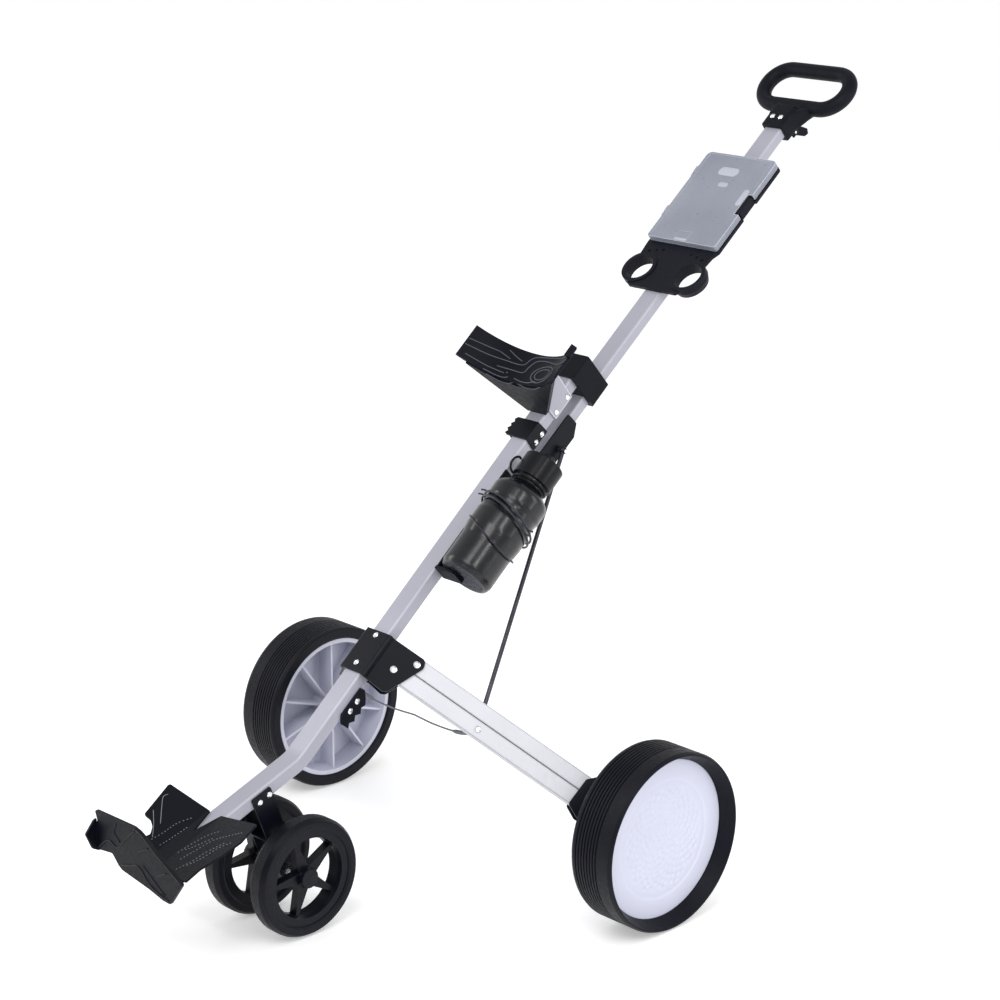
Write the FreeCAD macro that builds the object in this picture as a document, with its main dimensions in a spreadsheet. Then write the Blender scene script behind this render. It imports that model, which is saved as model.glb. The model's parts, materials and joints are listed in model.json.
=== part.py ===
import FreeCAD, Part
import os
import re
from math import atan2, cos, degrees, hypot, pi, radians, sin, sqrt, tan

# Folding golf push trolley, in millimetres.
# Row frame: +X to the pusher's left, -Y to the front (bag foot), +Z up, wheels standing on z = 0.
# Letters used below: s runs up along the lower tube, q up along the mast, u up along the foot of the
# tube, w out along a leg. Each of these frames has X across the trolley unless it says otherwise.

DIMENSIONS = {
    "origin_shift": 53.4,        # the row origin lies this far behind the rear axle
    "tube_elevation": 40.5,
    "tube_ref_y": 83.7,
    "tube_ref_z": 563.9,
    "tube_width": 30.0,
    "tube_height": 20.0,
    "tube_wall": 1.6,
    "tube_top": 135.0,
    "bend_at": 533.0,
    "bend_radius": 60.0,
    "foot_length": 182.0,
    "foot_elevation": 20.5,
    "toe_lean": 162.8,
    "mast_elevation": 39.3,
    "mast_offset": 35.5,
    "mast_width": 30.0,
    "mast_height": 17.0,
    "mast_length": 662.0,
    "sheet_metal": 2.5,
    "rear_wheel_radius": 120.65,
    "rear_wheel_width": 70.1,
    "rear_wheel_inner": 300.7,
    "front_wheel_radius": 80.1,
    "front_wheel_width": 29.6,
    "front_wheel_inner": 32.3,
    "front_axle_y": -350.5,
    "bar_width": 22.0,
    "bar_depth": 12.0,
    "bar_wall": 1.5,
    "bar_face": 17.2,
    "leg_pitch": 314.0,
    "front_pivot_w": 36.3,
    "front_pivot_s": -365.5,
    "rear_pivot_w": 57.8,
    "rear_pivot_s": -342.5,
    "pivot_radius": 3.0,
    "pivot_play": 0.05,
    "axle_radius": 6.0,
    "push_rod_radius": 3.0,
    "handle_bar_radius": 11.3,
    "handle_end_radius": 33.0,
    "handle_straight": 84.0,
    "card_width": 129.0,
    "card_length": 168.0,
    "ball_ring_bore": 21.8,
    "ball_ring_radius": 27.6,
    "tee_hole_radius": 2.6,
    "bottle_radius": 37.5,
    "bottle_x": 60.3,
    "rivet_radius": 4.0,
}

doc = FreeCAD.newDocument("golf_push_trolley")
sheet = doc.addObject("Spreadsheet::Sheet", "Dims")
for row, (alias, value) in enumerate(DIMENSIONS.items(), 1):
    sheet.set(f"A{row}", alias)
    sheet.set(f"B{row}", str(value))
    sheet.setAlias(f"B{row}", alias)
doc.recompute()

V = FreeCAD.Vector
X_AXIS = V(1, 0, 0)
Y_AXIS = V(0, 1, 0)
Z_AXIS = V(0, 0, 1)
nodes = {}


def dim(name):
    """A driving dimension's value from the sheet."""
    return float(sheet.get(name))


def bind(obj, prop, size):
    """Sets a size: a number as it is, or words of the sheet as an expression."""
    if isinstance(size, str):
        obj.setExpression(prop, re.sub(r"[a-z_]{3,}", lambda word: "Dims." + word.group(), size))
    else:
        setattr(obj, prop, size)


def place(frame, x=0, y=0, z=0, axis=Z_AXIS, angle=0):
    """A placement inside a frame."""
    return frame.multiply(FreeCAD.Placement(V(x, y, z), FreeCAD.Rotation(axis, angle)))


# ---------------------------------------------------------------------------- frames

WORLD = FreeCAD.Placement(V(0, -dim("origin_shift"), 0), FreeCAD.Rotation())


def inclined(y, z, elevation):
    """Local Z runs up a tube of this elevation, local Y is the tube's rear-down normal."""
    return WORLD.multiply(FreeCAD.Placement(V(0, y, z), FreeCAD.Rotation(X_AXIS, elevation - 90)))


TUBE = inclined(dim("tube_ref_y"), dim("tube_ref_z"), dim("tube_elevation"))
MAST = inclined(
    dim("tube_ref_y") + dim("mast_offset") * sin(radians(dim("tube_elevation"))),
    dim("tube_ref_z") - dim("mast_offset") * cos(radians(dim("tube_elevation"))),
    dim("mast_elevation"),
)
BEND_Y = dim("tube_ref_y") - dim("bend_at") * cos(radians(dim("tube_elevation")))
BEND_Z = dim("tube_ref_z") - dim("bend_at") * sin(radians(dim("tube_elevation")))
FOOT_END_Y = BEND_Y - dim("foot_length") * cos(radians(dim("foot_elevation")))
FOOT_END_Z = BEND_Z - dim("foot_length") * sin(radians(dim("foot_elevation")))
FOOT = inclined(FOOT_END_Y, FOOT_END_Z, dim("foot_elevation"))


def leg_frame(side):
    """Local X = w, out along the leg; Y = s; Z = side times c, the outward normal of the leg's plane."""
    across = V(side / sqrt(2), 1 / sqrt(2), 0)
    normal = V(1 / sqrt(2), -side / sqrt(2), 0)
    turn = FreeCAD.Rotation(across, Z_AXIS, normal, "ZXY")
    return TUBE.multiply(FreeCAD.Placement(V(0, 0, 0), turn))


def axle_frame(side, y, z):
    """Local Z runs outwards along an axle at this place."""
    return WORLD.multiply(FreeCAD.Placement(V(0, y, z), FreeCAD.Rotation(Y_AXIS, 90 * side)))


# ---------------------------------------------------------------------------- building helpers


def done(name, obj):
    """Names a finished sub-part."""
    obj.Label = name
    nodes[name] = obj
    return obj


def box(name, frame, corner, length, width, height):
    obj = doc.addObject("Part::Box", name)
    bind(obj, "Length", length)
    bind(obj, "Width", width)
    bind(obj, "Height", height)
    obj.Placement = place(frame, *corner)
    return obj


def rod(name, placement, radius, height):
    obj = doc.addObject("Part::Cylinder", name)
    bind(obj, "Radius", radius)
    bind(obj, "Height", height)
    obj.Placement = placement
    return obj


def fuse(name, parts):
    obj = doc.addObject("Part::MultiFuse", name)
    obj.Shapes = parts
    obj.Refine = True
    return obj


def group(name, parts):
    """Separate solids that share a node."""
    obj = doc.addObject("Part::Compound", name)
    obj.Links = parts
    return obj


def cut(name, base, tool):
    obj = doc.addObject("Part::Cut", name)
    obj.Base = base
    obj.Tool = tool
    return obj


def plane_of(body, role):
    return [f for f in body.Origin.OriginFeatures if f.Role == role][0]


def new_sketch(body, role, lift=0):
    sketch = body.newObject("Sketcher::SketchObject", body.Name + "_sketch")
    sketch.AttachmentSupport = (plane_of(body, role), "")
    sketch.MapMode = "FlatFace"
    sketch.AttachmentOffset = FreeCAD.Placement(V(0, 0, lift), FreeCAD.Rotation())
    return sketch


def outline(sketch, points, radius=0):
    """A closed outline with its corners rounded; a point may carry its own radius."""
    count = len(points)
    starts = []
    ends = []
    for i in range(count):
        here = V(points[i][0], points[i][1], 0)
        to_last = V(points[i - 1][0], points[i - 1][1], 0) - here
        to_next = V(points[(i + 1) % count][0], points[(i + 1) % count][1], 0) - here
        size = points[i][2] if len(points[i]) > 2 else radius
        to_last.normalize()
        to_next.normalize()
        half = to_last.getAngle(to_next) / 2
        if size <= 0 or half > radians(89.5):
            starts.append(here)
            ends.append(here)
            continue
        back = size / tan(half)
        first = here + to_last * back
        last = here + to_next * back
        centre_way = to_last + to_next
        centre_way.normalize()
        middle = here + centre_way * (size / sin(half) - size)
        sketch.addGeometry(Part.Arc(first, middle, last), False)
        starts.append(first)
        ends.append(last)
    for i in range(count):
        if ends[i - 1].distanceToPoint(starts[i]) > 1e-6:
            sketch.addGeometry(Part.LineSegment(ends[i - 1], starts[i]), False)


def slab(name, frame, points, lift, thickness, radius=0, holes=(), role="XY_Plane"):
    """A padded outline with round holes (x, y, radius)."""
    body = doc.addObject("PartDesign::Body", name)
    sketch = new_sketch(body, role, lift)
    outline(sketch, points, radius)
    for x, y, size in holes:
        sketch.addGeometry(Part.Circle(V(x, y, 0), Z_AXIS, size), False)
    pad = body.newObject("PartDesign::Pad", name + "_pad")
    pad.Profile = sketch
    bind(pad, "Length", thickness)
    sketch.Visibility = False
    body.Placement = frame
    return body


def spun(name, frame, points, radius=0):
    """A profile of (radius, height) points turned about local Z."""
    body = doc.addObject("PartDesign::Body", name)
    sketch = new_sketch(body, "XZ_Plane")
    outline(sketch, points, radius)
    turned = body.newObject("PartDesign::Revolution", name + "_revolution")
    turned.Profile = sketch
    turned.ReferenceAxis = (sketch, ["V_Axis"])
    turned.Angle = 360
    body.Placement = frame
    return body


def between(low, high):
    """Start and length of a pad from low to high."""
    return min(low, high), abs(high - low)


def head(name, frame, x, y, z, axis, angle):
    """A domed rivet head that stands on a face."""
    size = dim("rivet_radius")
    profile = [(0, 0), (size, 0), (size, 0.8), (1.8, 2.4), (0, 2.4)]
    return spun(name, place(frame, x, y, z, axis, angle), profile)


def heads(name, frame, spots, half_width):
    """Rivet heads on both sides of a plate pair, at (y, z) spots."""
    made = []
    for i, (y, z) in enumerate(spots):
        for side in (1, -1):
            label = f"{name}_{i}_{'near' if side > 0 else 'far'}"
            made.append(head(label, frame, side * half_width, y, z, Y_AXIS, 90 * side))
    return made


def side_plates(name, frame, points, inner, radius=2):
    """Two equal plates outside +-inner, outlined in the frame's Y and Z."""
    thick = dim("sheet_metal")
    near = slab(name + "_near", frame, points, inner, "sheet_metal", radius, role="YZ_Plane")
    far = slab(name + "_far", frame, points, -inner - thick, "sheet_metal", radius, role="YZ_Plane")
    return [near, far]


HALF_WIDTH = dim("tube_width") / 2
HALF_HEIGHT = dim("tube_height") / 2
GAP = 0.3
PLATE = dim("sheet_metal")
SIDES = (("near", 1), ("far", -1))


# ---------------------------------------------------------------------------- lower tube


def section(sketch, width, height, wall):
    """A rounded rectangular tube section about the origin."""
    for inset, radius in ((0, 3), (wall, 1.6)):
        x = width / 2 - inset
        y = height / 2 - inset
        outline(sketch, [(-x, -y), (x, -y), (x, y), (-x, y)], radius)


def lower_tube():
    turn = radians(dim("tube_elevation") - dim("foot_elevation"))
    back = dim("bend_radius") * tan(turn / 2)
    straight = dim("tube_top") + dim("bend_at")
    body = doc.addObject("PartDesign::Body", "lower_tube")
    profile = new_sketch(body, "XY_Plane")
    section(profile, dim("tube_width"), dim("tube_height"), dim("tube_wall"))
    path = body.newObject("Sketcher::SketchObject", "lower_tube_path")
    path.AttachmentSupport = (plane_of(body, "YZ_Plane"), "")
    path.MapMode = "FlatFace"
    bend_in = V(0, back - straight, 0)
    bend_out = V(-back * sin(turn), -straight - back * cos(turn), 0)
    far_in = dim("bend_radius") * (1 - cos(turn / 2))
    middle = V(-far_in, back - straight - dim("bend_radius") * sin(turn / 2), 0)
    reach = dim("foot_length")
    end = V(-reach * sin(turn), -straight - reach * cos(turn), 0)
    path.addGeometry(Part.LineSegment(V(0, 0, 0), bend_in), False)
    path.addGeometry(Part.Arc(bend_in, middle, bend_out), False)
    path.addGeometry(Part.LineSegment(bend_out, end), False)
    pipe = body.newObject("PartDesign::AdditivePipe", "lower_tube_pipe")
    pipe.Profile = profile
    pipe.Spine = (path, ["Edge1", "Edge2", "Edge3"])
    body.Placement = place(TUBE, z=dim("tube_top"))
    done("lower_tube", body)


def tube_plugs():
    """Moulded plugs that close both ends of the tube."""
    x = HALF_WIDTH - dim("tube_wall")
    y = HALF_HEIGHT - dim("tube_wall")
    inner = [(-x, -y), (x, -y), (x, y), (-x, y)]
    outer = [(-HALF_WIDTH, -HALF_HEIGHT), (HALF_WIDTH, -HALF_HEIGHT), (HALF_WIDTH, HALF_HEIGHT),
             (-HALF_WIDTH, HALF_HEIGHT)]
    for name, frame, seat, way in (("tube_top_plug", TUBE, dim("tube_top"), 1), ("tube_foot_plug", FOOT, 0, -1)):
        spigot_from, spigot = between(seat, seat - way * 12)
        flange_from, flange = between(seat, seat + way * 2)
        spigot_body = slab(name + "_spigot", frame, inner, spigot_from, spigot, 1.6)
        flange_body = slab(name + "_flange", frame, outer, flange_from, flange, 3)
        done(name, fuse(name, [spigot_body, flange_body]))


def guide_box():
    """Collar on the top of the lower tube; the mast slides through its rear half."""
    block = slab("guide_block", TUBE, [(-22, -13), (22, -13), (22, 49.5), (-22, 49.5)], 112, 39, 3)
    tube_pocket = slab("guide_tube_pocket", TUBE, [(-15, -10), (15, -10), (15, 10), (-15, 10)], 100,
                       dim("tube_top") + 2 - 100, 3)
    x = dim("mast_width") / 2 + GAP
    y = dim("mast_height") / 2 + GAP
    mast_pocket = slab("guide_mast_pocket", MAST, [(-x, -y), (x, -y), (x, y), (-x, y)], 70, 110, 2)
    hollow = cut("guide_box_half", block, tube_pocket)
    done("guide_box", cut("guide_box", hollow, mast_pocket))


# ---------------------------------------------------------------------------- bag cradle and saddle


def arc_band(name, frame, radius, centre_y, half_width, thick, lift, height):
    """An arched band: its hollow side faces local -Y."""
    body = doc.addObject("PartDesign::Body", name)
    sketch = new_sketch(body, "XY_Plane", lift)
    half = sin(half_width / radius)
    half_angle = half_width / radius
    ends = []
    for size in (radius, radius + thick):
        corner = V(size * half, centre_y + size * cos(half_angle), 0)
        mirrored = V(-corner.x, corner.y, 0)
        sketch.addGeometry(Part.Arc(corner, V(0, centre_y + size, 0), mirrored), False)
        ends.append((corner, mirrored))
    sketch.addGeometry(Part.LineSegment(ends[0][0], ends[1][0]), False)
    sketch.addGeometry(Part.LineSegment(ends[0][1], ends[1][1]), False)
    pad = body.newObject("PartDesign::Pad", name + "_pad")
    pad.Profile = sketch
    pad.Length = height
    sketch.Visibility = False
    body.Placement = frame
    return body


def cradle():
    """Upper bag cradle: an arched band, the sloping web below it and two lips at the arm ends."""
    band = arc_band("cradle_band", TUBE, 133, -204, 104, 4, 49, 52)
    web = slab("cradle_web", TUBE, [(-18, -10.3), (18, -10.3), (86, -98), (44, -74), (0, -67), (-44, -74),
                                    (-86, -98)], 47, 8, 1)
    tab = box("cradle_tab", place(TUBE, 94, -112, 84, Z_AXIS, 45), (-4, -3, 0), 9, 6, 17)
    done("cradle", fuse("cradle", [band, web, tab]))
    plates = side_plates("cradle_plate", TUBE, [(9, 55.4), (9, 96), (-30, 98), (-66.5, 98), (-66.5, 55.4)], 15.3)
    done("cradle_plates", group("cradle_plates", plates))


def strap_saddle():
    """Toothed bag strap anchor that wraps the front of the tube."""
    teeth = [(-22, 32), (-26, 28), (-23, 24), (-27, 20), (-24, 16), (-28, 12), (-24, 8), (-27, 4), (-23, 2)]
    front = slab("saddle_front", TUBE, [(17.8, 2), (17.8, 32)] + teeth, HALF_HEIGHT + GAP, 3, role="XZ_Plane")
    cheeks = side_plates("saddle_cheek", TUBE, [(-12, 2), (9.5, 0), (9.5, 34), (-12, 32)], 15.3, 1)
    done("strap_saddle", fuse("strap_saddle", [front] + cheeks))


def lower_catch():
    """Toothed strap anchor behind the tube, above the bend."""
    teeth = [(28, -458), (23, -452), (29, -445), (24, -439), (30, -432), (25, -426), (28, -419), (21, -412)]
    cheeks = side_plates("catch_cheek", TUBE, [(4, -408), (4, -452), (13, -461)] + teeth + [(12, -406)], 15.3, 0)
    web = box("catch_web", TUBE, (-17.8, HALF_HEIGHT + GAP, -456), 35.6, "sheet_metal", 48)
    done("lower_catch", fuse("lower_catch", cheeks + [web]))


# ---------------------------------------------------------------------------- leg bracket, bars, knuckles

PIVOTS = ((dim("front_pivot_w"), dim("front_pivot_s")), (dim("rear_pivot_w"), dim("rear_pivot_s")))
PITCH = dim("leg_pitch")
OUTER_PLATE = (18.1, 20.6)
INNER_PLATE = (2.0, 4.5)


def leg_slab(name, side, points, inner, outer, radius=0, holes=()):
    """A slab in a leg's plane, from inner to outer along the plane's outward normal."""
    lift = inner if side > 0 else -outer
    return slab(name, leg_frame(side), points, lift, outer - inner, radius, holes)


def bracket_shoulders(panel_y):
    """Raised shoulders where the front plate bends down into its wings."""
    parts = []
    for which, side in SIDES:
        bend = [(14, panel_y), (24.5, panel_y, 4), (24.5, -3.5), (22, -5.5), (22, panel_y + PLATE, 2),
                (14, panel_y + PLATE)]
        points = [(side * x, y, *rest) for x, y, *rest in bend]
        parts.append(slab(f"bracket_shoulder_{which}", TUBE, points, -395, 64))
    return parts


def leg_brackets():
    """Two folded plates that clamp the tube; the leg bars turn between their wings."""
    wing_end = [(64, -331, 6), (68, -341, 8), (46, -395, 6), (40, -398, 4)]
    holes = [(w, s, dim("pivot_radius")) for w, s in PIVOTS]
    layers = (("front", OUTER_PLATE, 2.2, -HALF_HEIGHT - GAP - PLATE), ("rear", INNER_PLATE, 18.4, HALF_HEIGHT + GAP))
    for label, (inner, outer), root, panel_y in layers:
        parts = [box(f"bracket_{label}_panel", TUBE, (-16.2, panel_y, -395), 32.4, "sheet_metal", 64)]
        if label == "front":
            parts += bracket_shoulders(panel_y)
        for which, side in SIDES:
            points = [(root, -331)] + wing_end + [(root, -395)]
            parts.append(leg_slab(f"bracket_{label}_{which}", side, points, inner, outer, 0, holes))
        done(f"leg_bracket_{label}", fuse(f"leg_bracket_{label}", parts))


def pin(name, side, w, s):
    """A headed pivot pin through a pair of plates."""
    frame = place(leg_frame(side), w, s, 0)
    if side < 0:
        frame = place(frame, axis=X_AXIS, angle=180)
    size = dim("pivot_radius")
    return spun(name, frame, [(0, 0), (5, 0), (5, 2), (size, 2), (size, 20.6), (5.2, 20.6), (4.6, 22.2),
                              (2.4, 23.4), (0, 23.4)])


def pins(node, side, reach):
    made = [pin(f"{node}_{i}", side, w + reach, s) for i, (w, s) in enumerate(PIVOTS)]
    done(node, group(node, made))


def leg_bar(node, side, w, s, holes=(), stud_w=None):
    """A box-section bar between its two pivots, with bores that run on the pins."""
    width = dim("bar_width")
    inner = dim("bar_face") - dim("bar_depth")
    low = inner if side > 0 else -dim("bar_face")
    frame = leg_frame(side)
    outer_box = box(node + "_outer", frame, (w - 9, s - width / 2, low), PITCH + 18, "bar_width", "bar_depth")
    wall = dim("bar_wall")
    inner_box = box(node + "_inner", frame, (w - 10, s - width / 2 + wall, low + wall), PITCH + 20,
                    "bar_width - 2*bar_wall", "bar_depth - 2*bar_wall")
    tube = cut(node + "_tube", outer_box, inner_box)
    bores = [rod(f"{node}_bore_{i}", place(frame, w + reach, s, -30), "pivot_radius + pivot_play", 60)
             for i, reach in enumerate((0, PITCH))]
    bores += [rod(f"{node}_hole_{i}", place(frame, at, s, -30), size, 60) for i, (at, size) in enumerate(holes)]
    made = cut(node + "_drilled", tube, fuse(node + "_bores", bores))
    if stud_w is not None:
        foot = min(side * ROD_STUD_END, side * (inner + 0.5))
        stud = rod(node + "_stud", place(frame, stud_w, s, foot), 4, abs(inner + 0.5 - ROD_STUD_END))
        made = fuse(node + "_studded", [made, stud])
    done(node, made)


ROD_FOOT_W = 165.0
ROD_FOOT_C = -4.0
ROD_STUD_END = 0.8
WIRE_W = 171.0


def legs():
    for which, side in SIDES:
        leg_bar(f"{which}_front_bar", side, *PIVOTS[0], holes=[(WIRE_W, 2.5)])
        leg_bar(f"{which}_rear_bar", side, *PIVOTS[1], stud_w=ROD_FOOT_W)
        pins(f"{which}_leg_pins", side, 0)
        pins(f"{which}_knuckle_pins", side, PITCH)
        frame = place(leg_frame(side), WIRE_W, PIVOTS[0][1], 0)
        if side < 0:
            frame = place(frame, axis=X_AXIS, angle=180)
        bolt = spun(f"{which}_wire_bolt_body", frame, [(0, 0.2), (5, 0.2), (5, 4.9), (2.5, 4.9), (2.5, 17.4),
                                                       (4.2, 17.4), (4.2, 19.2), (2.4, 20.4), (0, 20.4)])
        done(f"{which}_wire_bolt", bolt)


def knuckles():
    """End plates of the legs, with the block that carries the wheel's stub axle."""
    shape = [(324, -338, 4), (334, -327, 5), (392, -331, 5), (408, -341, 4), (408, -364, 4), (392, -384, 5),
             (340, -387, 6), (322, -378, 5)]
    holes = [(w + PITCH, s, dim("pivot_radius")) for w, s in PIVOTS]
    for which, side in SIDES:
        outer = leg_slab(f"{which}_knuckle_outer", side, shape, *OUTER_PLATE, 0, holes)
        inner = leg_slab(f"{which}_knuckle_inner", side, shape, *INNER_PLATE, 0, holes)
        block = leg_slab(f"{which}_knuckle_block", side, [(389, -380), (407, -366), (407, -340), (389, -333)],
                         INNER_PLATE[0] + 1, OUTER_PLATE[1] - 1, 2)
        hub = axle_frame(side, 0, dim("rear_wheel_radius"))
        boss = rod(f"{which}_knuckle_boss", place(hub, z=282), 16, 21)
        solid = fuse(f"{which}_knuckle_solid", [outer, inner, block, boss])
        bore = rod(f"{which}_knuckle_bore", place(hub, z=276), "axle_radius", 40)
        done(f"{which}_knuckle", cut(f"{which}_knuckle", solid, bore))
        axle = spun(f"{which}_stub_axle", hub, [(0, 283), (6, 283), (6, 342.4),
                                               (9, 342.4), (9, 346.4), (0, 346.4)])
        done(f"{which}_stub_axle", axle)


# ---------------------------------------------------------------------------- wheels


def rear_wheels():
    outer = dim("rear_wheel_radius")
    inner_x = dim("rear_wheel_inner")
    face = inner_x + dim("rear_wheel_width")
    bore = dim("axle_radius") + dim("pivot_play")
    grooves = []
    for i in range(8):
        z = 346 - 5 * i
        grooves += [(outer, z), (outer - 1.4, z - 0.6), (outer - 1.4, z - 1.8), (outer, z - 2.4)]
    for which, side in SIDES:
        hub = axle_frame(side, 0, outer)
        tyre = [(103.8, 303), (103.8, 348.2), (107.6, 348.2), (107.6, 352), (116.4, face, 1.2), (118.6, face, 1.4),
                (outer, face - 5)] + grooves + [(outer, 305.5), (118.8, inner_x, 2), (106.5, inner_x, 2)]
        done(f"{which}_tyre", spun(f"{which}_tyre", hub, tyre))
        rim = [(bore, 305), (15, 305), (16, 338), (95, 338), (97.5, 304), (103.5, 304), (103.5, 347.9), (97, 347.9),
               (94, 341.5), (16, 341.5), (bore, 341.5)]
        parts = [spun(f"{which}_hub_rim", hub, rim)]
        for i in range(10):
            parts.append(box(f"{which}_hub_rib_{i}", place(hub, angle=36 * i), (15, -1.5, 310), 82, 3, 29))
        done(f"{which}_hub", fuse(f"{which}_hub", parts))
        cover = [(0, 348.4), (107.2, 348.4), (107.2, 350.6), (82, 350.9), (79, 349.9), (74, 350.4), (0, 352.2)]
        done(f"{which}_hub_cover", spun(f"{which}_hub_cover", hub, cover))


def front_wheels():
    outer = dim("front_wheel_radius")
    low = dim("front_wheel_inner")
    high = low + dim("front_wheel_width")
    for which, side in SIDES:
        hub = axle_frame(side, dim("front_axle_y"), outer)
        tyre = [(65, low + 2), (65, high - 2), (68, high, 2), (76, high, 3), (outer, high - 7, 3), (outer, low + 7, 3),
                (76, low, 3), (68, low, 2)]
        done(f"{which}_front_tyre", spun(f"{which}_front_tyre", hub, tyre))
        barrel = spun(f"{which}_front_barrel", hub, [(52.5, low + 3), (64.8, low + 3), (64.8, high - 3),
                                                     (54.5, high - 3), (52.5, high - 9)])
        bore = 5 + dim("pivot_play")
        core = spun(f"{which}_front_core", hub, [(bore, low + 1), (12, low + 1), (14, high - 6), (13, high - 1, 1),
                                                 (0, high), (0, high - 3), (bore, high - 3)])
        parts = [barrel, core]
        for i in range(5):
            turned = place(hub, angle=72 * i + 54)
            parts.append(slab(f"{which}_front_spoke_{i}", turned, [(11, -8), (54, -2.2), (54, 2.2), (11, 8)],
                              low + 7, 13, 0))
        done(f"{which}_front_rim", fuse(f"{which}_front_rim", parts))


def front_bracket():
    """Fork under the foot of the tube and the axle that both small wheels run on."""
    axle_y, axle_z = dim("front_axle_y"), dim("front_wheel_radius")
    along = radians(dim("foot_elevation"))
    du, dz = axle_y - FOOT_END_Y, axle_z - FOOT_END_Z
    axle_u = du * cos(along) + dz * sin(along)
    axle_drop = du * sin(along) - dz * cos(along)
    shape = [(-5, 92), (-5, 124), (26, 124, 6), (axle_drop, axle_u + 14, 10), (axle_drop + 14, axle_u + 8, 8),
             (axle_drop + 14, axle_u - 8, 8), (axle_drop, axle_u - 14, 10), (26, 92, 6)]
    cheeks = side_plates("fork_cheek", FOOT, shape, 15.3)
    bridge = box("fork_bridge", FOOT, (-17.8, HALF_HEIGHT + GAP, 94), 35.6, "sheet_metal", 28)
    brace = box("fork_brace", FOOT, (-17.8, 62, 92), 35.6, "sheet_metal", 24)
    fork = fuse("fork_solid", cheeks + [bridge, brace])
    line = axle_frame(1, axle_y, axle_z)
    drill = rod("fork_drill", place(line, z=-40), 5, 80)
    done("front_wheel_bracket", cut("front_wheel_bracket", fork, drill))
    sleeve_in = 15.3 + PLATE + 0.1
    sleeve_out = dim("front_wheel_inner") + 0.7
    half = [(0, 0), (5, 0), (5, sleeve_in), (9, sleeve_in), (9, sleeve_out), (5, sleeve_out), (5, 58), (0, 58)]
    halves = [spun("axle_half_near", line, half), spun("axle_half_far", place(line, axis=X_AXIS, angle=180), half)]
    done("front_axle", fuse("front_axle", halves))


# ---------------------------------------------------------------------------- bag foot rest


def foot_rest():
    """Spine and two wings that the bag lies on, and the toe wall that holds its base."""
    spine = slab("rest_spine", FOOT, [(-15.5, -76), (15.5, -76), (15.5, 47), (12, 47), (0, 8), (-12, 47),
                                      (-15.5, 47)], 10.3, 3, 0, role="XZ_Plane")
    parts = [spine]
    far_shape = [(0, 47), (76, 47, 3), (61, -9, 3), (48, -10, 3), (36, -17, 5), (28.5, -27, 4), (32, -36, 4),
                 (60, -46, 6), (76, -48, 3), (76, -70.9), (0, -77.2)]
    near_shape = [(0, 47), (80, 46, 3), (91, 12, 8), (87, -20, 14), (78, -46, 10), (80, -70.9), (0, -77.2)]
    for which, side, shape in (("near", 1, near_shape), ("far", -1, far_shape)):
        tilted = place(FOOT, side * 14, -10.5, 0, Z_AXIS, -12.5 * side)
        points = [(side * x, z, *rest) for x, z, *rest in shape]
        parts.append(slab(f"rest_wing_{which}", tilted, points, 0, 3, 0, role="XZ_Plane"))
    done("footrest_wings", fuse("footrest_wings", parts))
    wall_frame = place(FOOT, 0, -9.5, -78.6, X_AXIS, dim("toe_lean"))
    wall = slab("toe_wall", wall_frame, [(-84, 63.5, 3), (-80, 50, 3), (-88, 38, 4), (-88, 8, 4), (-54, 13, 5),
                                        (-43, 0.5), (-35.7, -4.1), (19, -11.6), (47, -17.6, 4), (62, -17.9, 4),
                                        (91, 18, 3), (76, 25.3, 8), (42.6, 43.2), (14, 61.5, 8), (-1, 66, 8)], 0, 4)
    hook = slab("toe_hook", place(wall_frame, x=-86), [(50, 2), (49, 6, 2), (34, 20, 4), (12, 12, 5), (6, 2)],
                -1.5, 3, 0, role="YZ_Plane")
    done("footrest_toe", fuse("footrest_toe", [wall, hook]))


# ---------------------------------------------------------------------------- bottle and its cage

BOTTLE_SEAT = -215.2
BOTTLE_X = dim("bottle_x")


def bottle_cage():
    """Back plate on the tube's near side, with the ledge under the bottle and two wire hoops."""
    x = HALF_WIDTH + GAP
    plate = box("cage_plate", TUBE, (x, -11, -219.5), "sheet_metal", 22, 170)
    relief = box("cage_relief", TUBE, (x + 1.1, -12, -138), 5, 24, 50)
    ledge = box("cage_ledge", TUBE, (x, -12, BOTTLE_SEAT - 4.3), 34, 24, 4)
    lip = box("cage_lip", TUBE, (x + 33, -10, BOTTLE_SEAT - 4.3), 4, 20, 4)
    done("bottle_cage", fuse("bottle_cage", [cut("cage_back", plate, relief), ledge, lip]))
    hoops = []
    for i, lift in enumerate((-112, -119)):
        hoop = doc.addObject("Part::Torus", f"cage_hoop_{i}")
        hoop.Radius1 = 44.2
        hoop.Radius2 = 1.5
        hoop.Placement = place(TUBE, BOTTLE_X + 1.5, 0, lift, V(1, -1, 0), -14)
        hoops.append(hoop)
    done("cage_wire", group("cage_wire", hoops))


def bottle():
    frame = place(TUBE, x=BOTTLE_X, z=BOTTLE_SEAT)
    low = dim("bottle_radius")
    wide = low + 2.5
    shape = [(0, 0), (34.5, 0, 4), (low, 8), (low, 52), (wide - 1, 62, 3), (wide, 70), (wide, 92), (low + 1, 97),
             (low + 1, 112), (wide, 117), (wide, 138, 12), (24, 152, 2), (24, 186), (21.4, 186), (21.4, 150, 2),
             (34, 136, 10), (34, 3), (0, 3)]
    done("bottle", spun("bottle", frame, shape))
    cap = [(24.05, 162.4), (28.5, 162.4), (28.5, 196, 2), (12, 198, 1), (9.5, 200), (9, 207, 1.5), (0, 207),
           (0, 186.4), (24.05, 186.4)]
    done("bottle_cap", spun("bottle_cap", frame, cap))


# ---------------------------------------------------------------------------- mast, push channel, rods

ROD_TOP_X = 23.8
ROD_TOP_Q = 33.0
ROD_TOP_Y = 11.8


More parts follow.
